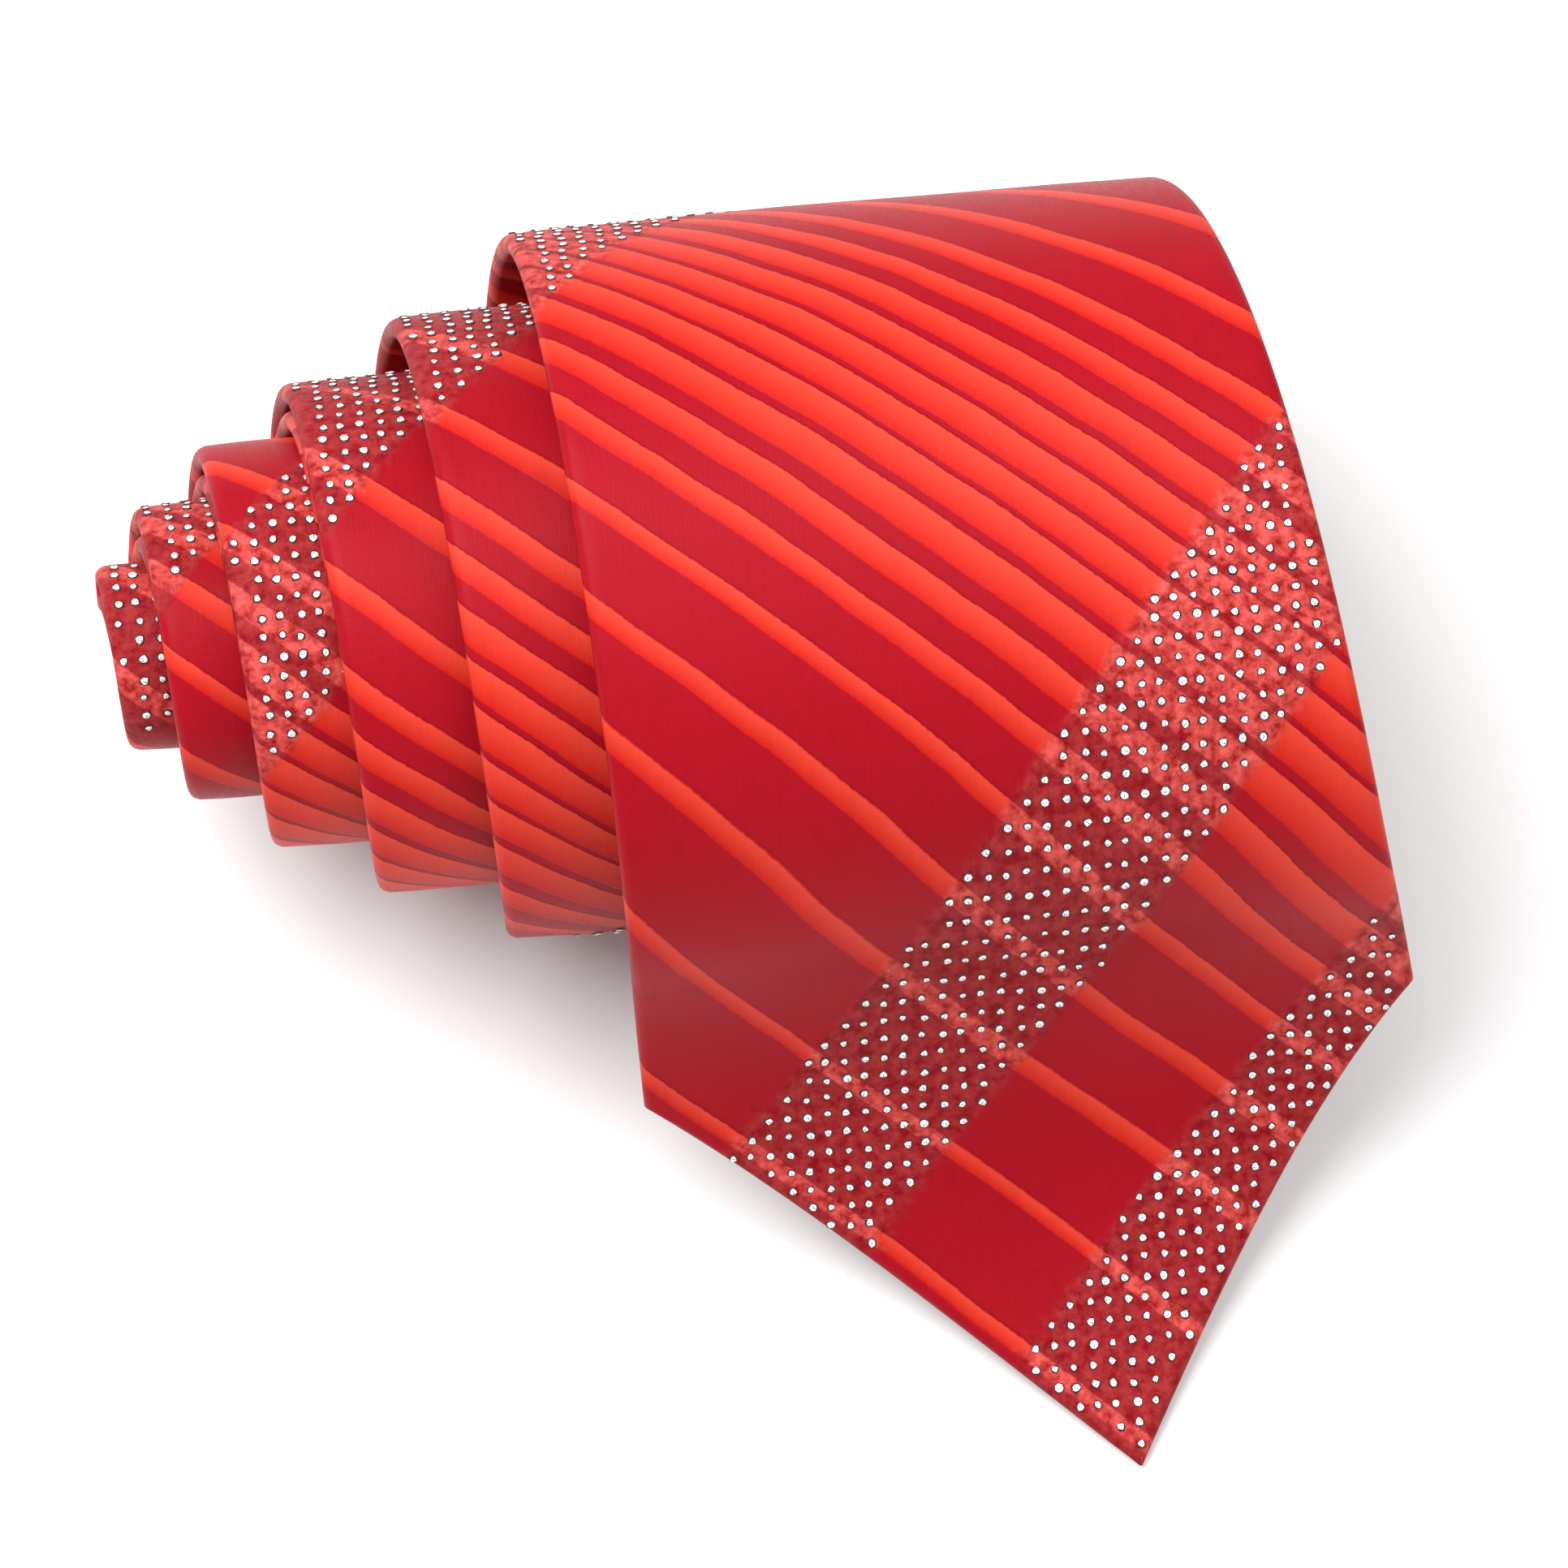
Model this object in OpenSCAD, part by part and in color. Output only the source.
// A silk necktie, folded in two, rolled up from the fold and set down for display.
// The roll lies along X. The blade runs down from the front of the roll, towards -Y,
// and its point rests on the floor at Z = 0. Lengths in millimetres, angles in degrees.
//
// A place on the cloth is given by three values:
//   s  the length along the roll's winding direction, from the blade's tip,
//   x  the place along the roll's axis,
//   n  the depth below the satin face, towards the back of the tie.

/* [Cloth] */
// Thickness of the satin shell
shell_t = 0.5; // [0.4:0.05:0.6]
// Thickness of the woollen interlining
inlay_t = 0.75; // [0.5:0.05:0.9]
// Thickness of the tipping, the lining behind each point
tipping_t = 0.2; // [0.1:0.05:0.3]
// Space that each layer has inside the envelope
layer_fit = 0.05; // [0.05:0.01:0.1]
// Thickness of the label and keeper band
band_t = 0.4; // [0.3:0.05:0.6]
// Thickness of a sewing thread
thread_t = 0.2; // [0.15:0.05:0.3]

/* [Blade and tail] */
// Width of the blade between its corners
blade_w = 80; // [60:1:100]
// Length of the blade's point, from the corners to the tip
blade_point = 49; // [38:1:59]
// Width of the tail between its corners
tail_w = 42; // [36:1:50]
// Length of the tail's point
tail_point = 22; // [16:1:30]
// Width of the neck
neck_w = 38; // [32:1:44]
// Width that each edge of the blade loses for each millimetre of length
edge_taper = 0.05; // [0.04:0.005:0.07]
// Width of the turned hem along the edges of each point
hem_w = 10; // [6:1:14]
// Gap between the two back flaps where they meet
seam_gap = 0.3; // [0.25:0.05:0.6]

/* [Roll] */
// Radius of the roll where the blade leaves it
roll_r = 42; // [35:0.5:51]
// Number of turns from there to the fold
roll_turns = 5.4; // [4.9:0.1:5.6]
// Radius of the roll at the fold, in its middle
core_r = 8.2; // [7.5:0.1:9]
// How much more the loose outer turn closes in than the turns inside it
outer_slack = 3.4; // [2:0.1:4]
// Angle between the tie's centre line and the winding direction
roll_skew = 5.8; // [2:0.2:8]
// How far the inner coils step out sideways for each millimetre of length
coil_lean = 0.015; // [0:0.001:0.02]
// How far the tip lies to the right of where the winding starts
tip_shift = 4; // [0:0.5:7]
// Height angle of the place where the blade leaves the roll, seen from the roll's axis
leave_angle = 11; // [0:1:20]
// Angle that the satin face has turned upwards at the tip; 90 lies flat on the floor
tip_angle = 88; // [80:1:90]
// How far the underside of the roll is pressed flat by its own weight
floor_press = 0.35; // [0.3:0.05:0.6]
// Height angle of the first cut between two coils, low down behind the roll
cut_angle = 250; // [240:1:256]
// Height angle of the tail's tip, inside the outer turn
tail_angle = 256; // [255:1:280]

/* [Trimmings] */
// Length of a bar tack across the seam
tack_len = 7; // [5:0.5:10]
// Distance from the tail's tip to its bar tack
tail_tack = 55; // [40:1:70]
// Space along the tie between the blade's bar tack and the maker's label
tack_space = 8; // [6:0.5:12]
// Size of the maker's label across the tie
label_w = 46; // [30:1:50]
// Size of the maker's label along the tie
label_h = 20; // [14:1:22]
// Space along the tie between the maker's label and the keeper band
label_space = 8; // [6:0.5:12]
// Distance from the ends of the keeper band to the edges of the tie
keeper_margin = 7; // [5:0.5:10]
// Width of the keeper band along the tie
keeper_h = 12; // [8:1:14]
// Height of the passage under the keeper band
keeper_rise = 1.6; // [1:0.1:2]
// Space along the tie between the keeper band and the care label
keeper_space = 5; // [4:0.5:8]
// Size of the care label across the tie
care_w = 16; // [10:1:20]
// Size of the care label along the tie
care_h = 17; // [10:1:18]
// Space along the tie between the care label and the end of the front loop
care_space = 8.5; // [6:0.5:12]

/* [Hidden] */

satin = [0.72, 0.05, 0.1];
lining = [0.5, 0.03, 0.06];
wool = [0.9, 0.87, 0.8];
thread = [0.8, 0.1, 0.12];
label = [0.12, 0.1, 0.11];

// The layers inside the tie, as depths below the satin face
inlay_n = shell_t + layer_fit;
tipping_n = inlay_n + inlay_t + layer_fit;
flap_n = tipping_n + tipping_t + layer_fit;
tie_t = flap_n + shell_t;

// The roll: one turn of it holds the blade layer, the tail layer and air beside each
turn_pitch = (roll_r - outer_slack - core_r) / roll_turns;
layer_gap = turn_pitch / 2 - tie_t;
tail_depth = 2 * tie_t + layer_gap;
end_angle = leave_angle + 360 * roll_turns;
joint_gap = 0.3;
coil_step = 12;

// Radius of the satin face at a height angle: the first turn closes in more than the others
function spiral_r(a) =
    let (t = (a - leave_angle) / 360)
    roll_r - turn_pitch * t - outer_slack * min(t, 1);

// Length of a spiral arc that starts at radius r and closes in by fall each turn, and the
// reverse: the angle, in radians, at which an arc has a length
function arc_len(r, fall, angle) = r * angle - fall * angle * angle / (4 * PI);
function arc_angle(r, fall, len) = (r - sqrt(r * r - fall * len / PI)) * 2 * PI / fall;

// Length of the winding from where the blade leaves the roll to a height angle
first_fall = turn_pitch + outer_slack;
first_len = arc_len(roll_r, first_fall, 2 * PI);
function roll_len(a) =
    let (t = (a - leave_angle) * PI / 180)
    t < 2 * PI
        ? arc_len(roll_r, first_fall, t)
        : first_len + arc_len(roll_r - first_fall, turn_pitch, t - 2 * PI);

// Height angle at a length of the winding, the reverse of roll_len
function roll_angle(len) =
    let (t = len < first_len
        ? arc_angle(roll_r, first_fall, len)
        : 2 * PI + arc_angle(roll_r - first_fall, turn_pitch, len - first_len))
    leave_angle + t * 180 / PI;

// The axis of the roll stands as high as its outer turn is deep, less the pressed part.
// The turns inside are lifted by as much as the outer turn is pressed.
axis_z = max([for (a = [220:0.5:320]) -spiral_r(a) * sin(a)]) - floor_press;
function lift(a) =
    let (t = max(0, min(1, (a - 256) / 84)))
    floor_press * t * t * (3 - 2 * t);

// The drop is an arc that starts along the roll and ends with its underside on the floor
drop_r = (axis_z + roll_r * sin(leave_angle) - tie_t * sin(tip_angle))
    / (sin(tip_angle) - sin(leave_angle));
drop_len = drop_r * (tip_angle - leave_angle) * PI / 180;
drop_y = -(roll_r + drop_r) * cos(leave_angle);
drop_z = axis_z + (roll_r + drop_r) * sin(leave_angle);

// Lengths of the winding at which the coils are cut, and where the fold is
function cut_s(turn) = drop_len + roll_len(cut_angle + 360 * turn);
fold_s = drop_len + roll_len(end_angle);

// The outline of the blade, drawn on the unrolled cloth and turned by the skew
function on_cloth(along, across) = [
    along * cos(roll_skew) + across * sin(roll_skew),
    across * cos(roll_skew) - along * sin(roll_skew)
];
left_corner = on_cloth(blade_point, -blade_w / 2);
right_corner = on_cloth(blade_point, blade_w / 2);
left_run = on_cloth(1, edge_taper);
right_run = on_cloth(1, -edge_taper);

lean_from = 300;
function lean(s) = -coil_lean * max(0, s - lean_from);
function left_x(s) = s < left_corner[0]
    ? tip_shift + (left_corner[1] - tip_shift) * s / left_corner[0]
    : left_corner[1] + (s - left_corner[0]) * left_run[1] / left_run[0] + lean(s);
function right_x(s) = s < right_corner[0]
    ? tip_shift + (right_corner[1] - tip_shift) * s / right_corner[0]
    : max(right_corner[1] + (s - right_corner[0]) * right_run[1] / right_run[0] + lean(s),
          left_x(s) + neck_w);
function seam_x(s) = (left_x(s) + right_x(s)) / 2;
function half_w(s) = (right_x(s) - left_x(s)) / 2;

// Half the space between the back flaps: closed along the seam, open behind the point
function half_gap(hw, s, tack, point, width) =
    let (open = min(hw - hem_w, (tack - s) * (width / 2 - hem_w) / (tack - point)))
    max(seam_gap / 2, open);

// The origin is under the middle of the whole object's box
mid_x = (right_corner[1] + left_x(fold_s)) / 2;
tip_y = drop_y + drop_r * cos(tip_angle);
back_y = max([for (a = [150:0.5:210]) -spiral_r(a) * cos(a)]);
mid_y = (tip_y + back_y) / 2;

// Direction from the satin face outwards at a height angle
function outward(a) = [-cos(a), sin(a)];

// Where the satin face is, and which way it looks, at a length s: [y, z, angle]
function face_at(s) = s < drop_len
    ? let (a = leave_angle + (drop_len - s) / drop_r * 180 / PI)
      [drop_y + drop_r * cos(a), drop_z - drop_r * sin(a), a]
    : let (a = roll_angle(s - drop_len), r = spiral_r(a), z = axis_z + lift(a) + r * sin(a))
      [-r * cos(a), a < leave_angle + 340 ? max(z, 0) : z, a];

// A point in space from a frame on the path, a place along X and a depth
function put(frame, x, n) = [
    x - mid_x,
    frame[0] - n * frame[2] - mid_y,
    frame[1] - n * frame[3]
];

// The trimmings sit in a row that ends before the end of the front loop
care_at = cut_s(0) - care_space - care_h;
keeper_at = care_at - keeper_space - keeper_h;
label_at = keeper_at - label_space - label_h;
blade_tack = label_at - tack_space;
keeper_w = 2 * (half_w(keeper_at) - keeper_margin);

// A frame of the path: [y, z, outward y, outward z, left x, right x, seam x, half gap]
function blade_frame(s) =
    let (f = face_at(s), out = outward(f[2]))
    [f[0], f[1], out[0], out[1], left_x(s), right_x(s), seam_x(s),
     half_gap(half_w(s), s, blade_tack, blade_point, blade_w)];

// The same for the tail layer, which lies inside the blade layer and faces inwards
function tail_s(a) = roll_len(a) - roll_len(tail_angle)
    - tail_depth * (a - tail_angle) * PI / 180;
function tail_hw(s) = s < tail_point
    ? tail_w / 2 * s / tail_point
    : max(neck_w / 2, tail_w / 2 - edge_taper / 3 * (s - tail_point));
function tail_frame(a) =
    let (r = spiral_r(a) - tail_depth, out = outward(a), s = tail_s(a))
    let (mid = seam_x(drop_len + roll_len(a)), hw = tail_hw(s))
    [-r * cos(a), axis_z + floor_press + r * sin(a), -out[0], -out[1],
     mid - hw, mid + hw, mid,
     half_gap(hw, s, tail_tack, tail_point, tail_w)];

// The fold: half a turn about a line midway between the two layers
fold_r = tie_t + layer_gap / 2;
function fold_frame(turn) =
    let (out = outward(end_angle), on = [sin(end_angle), cos(end_angle)])
    let (c = (spiral_r(end_angle) - fold_r) * out, mid = seam_x(fold_s))
    let (way = out * cos(turn) + on * sin(turn), hw = neck_w / 2)
    [c[0] + fold_r * way[0], axis_z + floor_press + c[1] + fold_r * way[1], way[0], way[1],
     mid - hw, mid + hw, mid, seam_gap / 2];

// Even steps from one value to another, at most a given step apart
function steps(from, to, step) =
    let (count = max(1, ceil(abs(to - from) / step)))
    [for (i = [0:count]) from + (to - from) * i / count];
function angle_gap(a) = joint_gap / 2 / spiral_r(a) * 180 / PI;

// The frames of each stretch of the tie. Layers and trimmings that lie on each other share
// their stations, so that their flat facets lie on each other too.
first_s = 1.4;
inner_s = 4;
inner_drop = [for (s = concat(
    steps(inner_s, left_corner[0], 8),
    steps(left_corner[0] + 1, right_corner[0], 4),
    steps(right_corner[0] + 1, drop_len - joint_gap / 2, 6))) blade_frame(s)];
face_drop = concat([blade_frame(first_s)], inner_drop);
function blade_frames(from, to) =
    [for (a = steps(from + angle_gap(from), to - angle_gap(to), coil_step))
        blade_frame(drop_len + roll_len(a))];
function coil_frames(turn) = blade_frames(
    turn == 0 ? leave_angle : cut_angle + 360 * (turn - 1), cut_angle + 360 * turn);
function tail_coil_frames(turn) =
    let (from = cut_angle + 360 * (turn - 1), to = cut_angle + 360 * turn)
    [for (a = steps(from + angle_gap(from), to - angle_gap(to), coil_step)) tail_frame(a)];
tail_inner_angles =
    steps(tail_angle + 8, cut_angle + 360 - angle_gap(cut_angle + 360), coil_step);
tail_inner_frames = [for (a = tail_inner_angles) tail_frame(a)];
tail_first_frames = concat([tail_frame(tail_angle + 2)], tail_inner_frames);
core_from = cut_angle + 360 * 4;
core_frames = concat(
    [for (a = steps(core_from + angle_gap(core_from), end_angle, coil_step))
        blade_frame(drop_len + roll_len(a))],
    [for (turn = [22.5:22.5:157.5]) fold_frame(turn)],
    [for (a = steps(end_angle, core_from + angle_gap(core_from), coil_step)) tail_frame(a)]
);

// A closed skin over a row of rings that all have the same number of points
module skin(rings) {
    count = len(rings[0]);
    last = len(rings) - 1;
    sides = [for (i = [0:last - 1]) for (j = [0:count - 1])
        let (k = (j + 1) % count, a = i * count, b = (i + 1) * count)
        each [[a + j, a + k, b + k], [a + j, b + k, b + j]]];
    start_cap = [[for (j = [count - 1:-1:0]) j]];
    end_cap = [[for (j = [0:count - 1]) last * count + j]];
    polyhedron([for (ring = rings) each ring], concat(sides, start_cap, end_cap));
}

// The satin envelope: the face, two folded edges and two back flaps
module envelope(frames) {
    skin([for (f = frames)
        let (l = f[4], r = f[5], a = f[6] - f[7], b = f[6] + f[7], t = shell_t)
        [put(f, l, 0), put(f, l, tie_t), put(f, a, tie_t), put(f, a, flap_n),
         put(f, l + t, flap_n), put(f, l + t, t), put(f, r - t, t),
         put(f, r - t, flap_n), put(f, b, flap_n), put(f, b, tie_t),
         put(f, r, tie_t), put(f, r, 0)]]);
}

// A flat layer inside the envelope
module layer(frames, n, thickness) {
    inset = shell_t + layer_fit;
    skin([for (f = frames)
        [put(f, f[4] + inset, n), put(f, f[4] + inset, n + thickness),
         put(f, f[5] - inset, n + thickness), put(f, f[5] - inset, n)]]);
}

// The slip stitch, a thread that lies between the two back flaps
module seam_thread(frames) {
    skin([for (f = frames)
        [put(f, f[6] - thread_t / 2, flap_n + thread_t / 2),
         put(f, f[6] - thread_t / 2, tie_t - thread_t / 2),
         put(f, f[6] + thread_t / 2, tie_t - thread_t / 2),
         put(f, f[6] + thread_t / 2, flap_n + thread_t / 2)]]);
}

// A frame on the flat facet between the two stations on either side of a length
function facet_frame(stations, frames, s) =
    let (i = max([for (i = [0:len(stations) - 2]) stations[i] <= s ? i : 0]))
    let (t = (s - stations[i]) / (stations[i + 1] - stations[i]))
    frames[i] * (1 - t) + frames[i + 1] * t;

// The stations of the front loop
loop_angles = steps(leave_angle + angle_gap(leave_angle),
                    cut_angle - angle_gap(cut_angle), coil_step);
loop_s = [for (a = loop_angles) drop_len + roll_len(a)];
loop_frames = coil_frames(0);
function loop_frame(s) = facet_frame(loop_s, loop_frames, s);
function places(from, to) =
    concat([from], [for (s = loop_s) if (s > from + 0.01 && s < to - 0.01) s], [to]);

// A patch on the back of the blade, centred across on a place off the seam
module patch(from, length, off, width, n, thickness) {
    skin([for (s = places(from, from + length))
        let (f = loop_frame(s), x = seam_x(from) + off)
        [put(f, x - width / 2, n), put(f, x - width / 2, n + thickness),
         put(f, x + width / 2, n + thickness), put(f, x + width / 2, n)]]);
}

// The four corner stitches of a patch
module corner_stitches(from, length, off, width, n) {
    for (end = [0, 1])
        for (side = [-1, 1])
            patch(from + thread_t + end * (length - 5 * thread_t), 3 * thread_t,
                  off + side * (width / 2 - 1.5), 2, n, thread_t);
}

// A bar tack: stitches side by side across the seam
module bar_tack(frame_at, at) {
    for (i = [-2:2])
        skin([for (e = [-1, 1])
            let (f = frame_at(at + i * 1.5 * thread_t + e * thread_t / 2))
            [put(f, f[6] - tack_len / 2, tie_t), put(f, f[6] - tack_len / 2, tie_t + thread_t),
             put(f, f[6] + tack_len / 2, tie_t + thread_t), put(f, f[6] + tack_len / 2, tie_t)]]);
}

label_n = tie_t + layer_fit;
tipping_len = blade_tack - 25;
tipping_frames = [for (s = loop_s) if (s < tipping_len) loop_frame(s)];
seam_frames = [for (s = places(blade_tack, loop_s[len(loop_s) - 1])) loop_frame(s)];

module blade_shell_drop() { color(satin) envelope(face_drop); }
module interlining_drop() { color(wool) layer(inner_drop, inlay_n, inlay_t); }
module blade_tipping_drop() { color(lining) layer(inner_drop, tipping_n, tipping_t); }

module blade_shell_loop() { color(satin) envelope(coil_frames(0)); }
module interlining_loop() { color(wool) layer(coil_frames(0), inlay_n, inlay_t); }
module blade_tipping_loop() {
    color(lining) layer(tipping_frames, tipping_n, tipping_t);
}
module slip_stitch_loop() { color(thread) seam_thread(seam_frames); }
module blade_bar_tack() { color(thread) bar_tack(function (s) loop_frame(s), blade_tack); }

module maker_label() {
    color(label) patch(label_at, label_h, 0, label_w, label_n, band_t);
}
module maker_label_stitches() {
    color(thread) corner_stitches(label_at, label_h, 0, label_w, label_n + band_t);
}
module care_label() {
    color(label) patch(care_at, care_h, care_w / 2 + 2, care_w, label_n, band_t);
}
module care_label_stitches() {
    color(thread) corner_stitches(care_at, care_h, care_w / 2 + 2, care_w, label_n + band_t);
}

// The keeper band crosses the back, lies flat at both ends and stands off between them
keeper_flat = 7;
keeper_ramp = 5;
function keeper_n(off) =
    let (inside = keeper_w / 2 - keeper_flat - abs(off))
    label_n + keeper_rise * min(1, max(0, inside / keeper_ramp));
module keeper_band() {
    half = keeper_w / 2;
    bends = [-half, -half + keeper_flat, -half + keeper_flat + keeper_ramp,
             half - keeper_flat - keeper_ramp, half - keeper_flat, half];
    rows = places(keeper_at, keeper_at + keeper_h);
    color(satin)
    skin([for (i = [len(bends) - 1:-1:0])
        let (off = bends[i], x = seam_x(keeper_at) + off, n = keeper_n(off))
        concat([for (s = rows) put(loop_frame(s), x, n + band_t)],
               [for (j = [len(rows) - 1:-1:0]) put(loop_frame(rows[j]), x, n)])]);
}
module keeper_stitches() {
    color(thread)
    for (side = [-1, 1])
        for (row = [0:3])
            patch(keeper_at + 1 + row * (keeper_h - 2.6) / 3, 3 * thread_t,
                  side * (keeper_w / 2 - keeper_flat / 2), keeper_flat - 3,
                  label_n + band_t, thread_t);
}

module blade_shell_coil_1() { color(satin) envelope(coil_frames(1)); }
module blade_shell_coil_2() { color(satin) envelope(coil_frames(2)); }
module neck_shell_coil_3() { color(satin) envelope(coil_frames(3)); }
module neck_shell_coil_4() { color(satin) envelope(coil_frames(4)); }
module neck_shell_core() { color(satin) envelope(core_frames); }

module interlining_coil(turn) { color(wool) layer(coil_frames(turn), inlay_n, inlay_t); }
module slip_stitch_coil(turn) { color(thread) seam_thread(coil_frames(turn)); }
module interlining_core() { color(wool) layer(core_frames, inlay_n, inlay_t); }

module tail_shell_coil_1() { color(satin) envelope(tail_first_frames); }
module tail_interlining_coil_1() { color(wool) layer(tail_inner_frames, inlay_n, inlay_t); }
module tail_shell_coil(turn) { color(satin) envelope(tail_coil_frames(turn)); }
module tail_interlining_coil(turn) {
    color(wool) layer(tail_coil_frames(turn), inlay_n, inlay_t);
}
module tail_tipping() {
    inside = [for (a = tail_inner_angles) if (a < tail_angle + 80) tail_frame(a)];
    color(lining) layer(inside, tipping_n, tipping_t);
}
tail_inner_s = [for (a = tail_inner_angles) tail_s(a)];
module tail_bar_tack() {
    color(thread)
    bar_tack(function (s) facet_frame(tail_inner_s, tail_inner_frames, s), tail_tack);
}

blade_shell_drop();
interlining_drop();
blade_tipping_drop();
blade_shell_loop();
interlining_loop();
blade_tipping_loop();
slip_stitch_loop();
blade_bar_tack();
maker_label();
maker_label_stitches();
keeper_band();
keeper_stitches();
care_label();
care_label_stitches();
blade_shell_coil_1();
interlining_coil(1);  // interlining_coil_1
slip_stitch_coil(1);  // slip_stitch_coil_1
tail_shell_coil_1();
tail_interlining_coil_1();
tail_tipping();
tail_bar_tack();
blade_shell_coil_2();
interlining_coil(2);  // interlining_coil_2
slip_stitch_coil(2);  // slip_stitch_coil_2
tail_shell_coil(2);  // tail_shell_coil_2
tail_interlining_coil(2);  // tail_interlining_coil_2
neck_shell_coil_3();
interlining_coil(3);  // interlining_coil_3
slip_stitch_coil(3);  // slip_stitch_coil_3
tail_shell_coil(3);  // tail_shell_coil_3
tail_interlining_coil(3);  // tail_interlining_coil_3
neck_shell_coil_4();
interlining_coil(4);  // interlining_coil_4
slip_stitch_coil(4);  // slip_stitch_coil_4
tail_shell_coil(4);  // neck_back_shell_coil_4
tail_interlining_coil(4);  // neck_back_interlining_coil_4
neck_shell_core();
interlining_core();
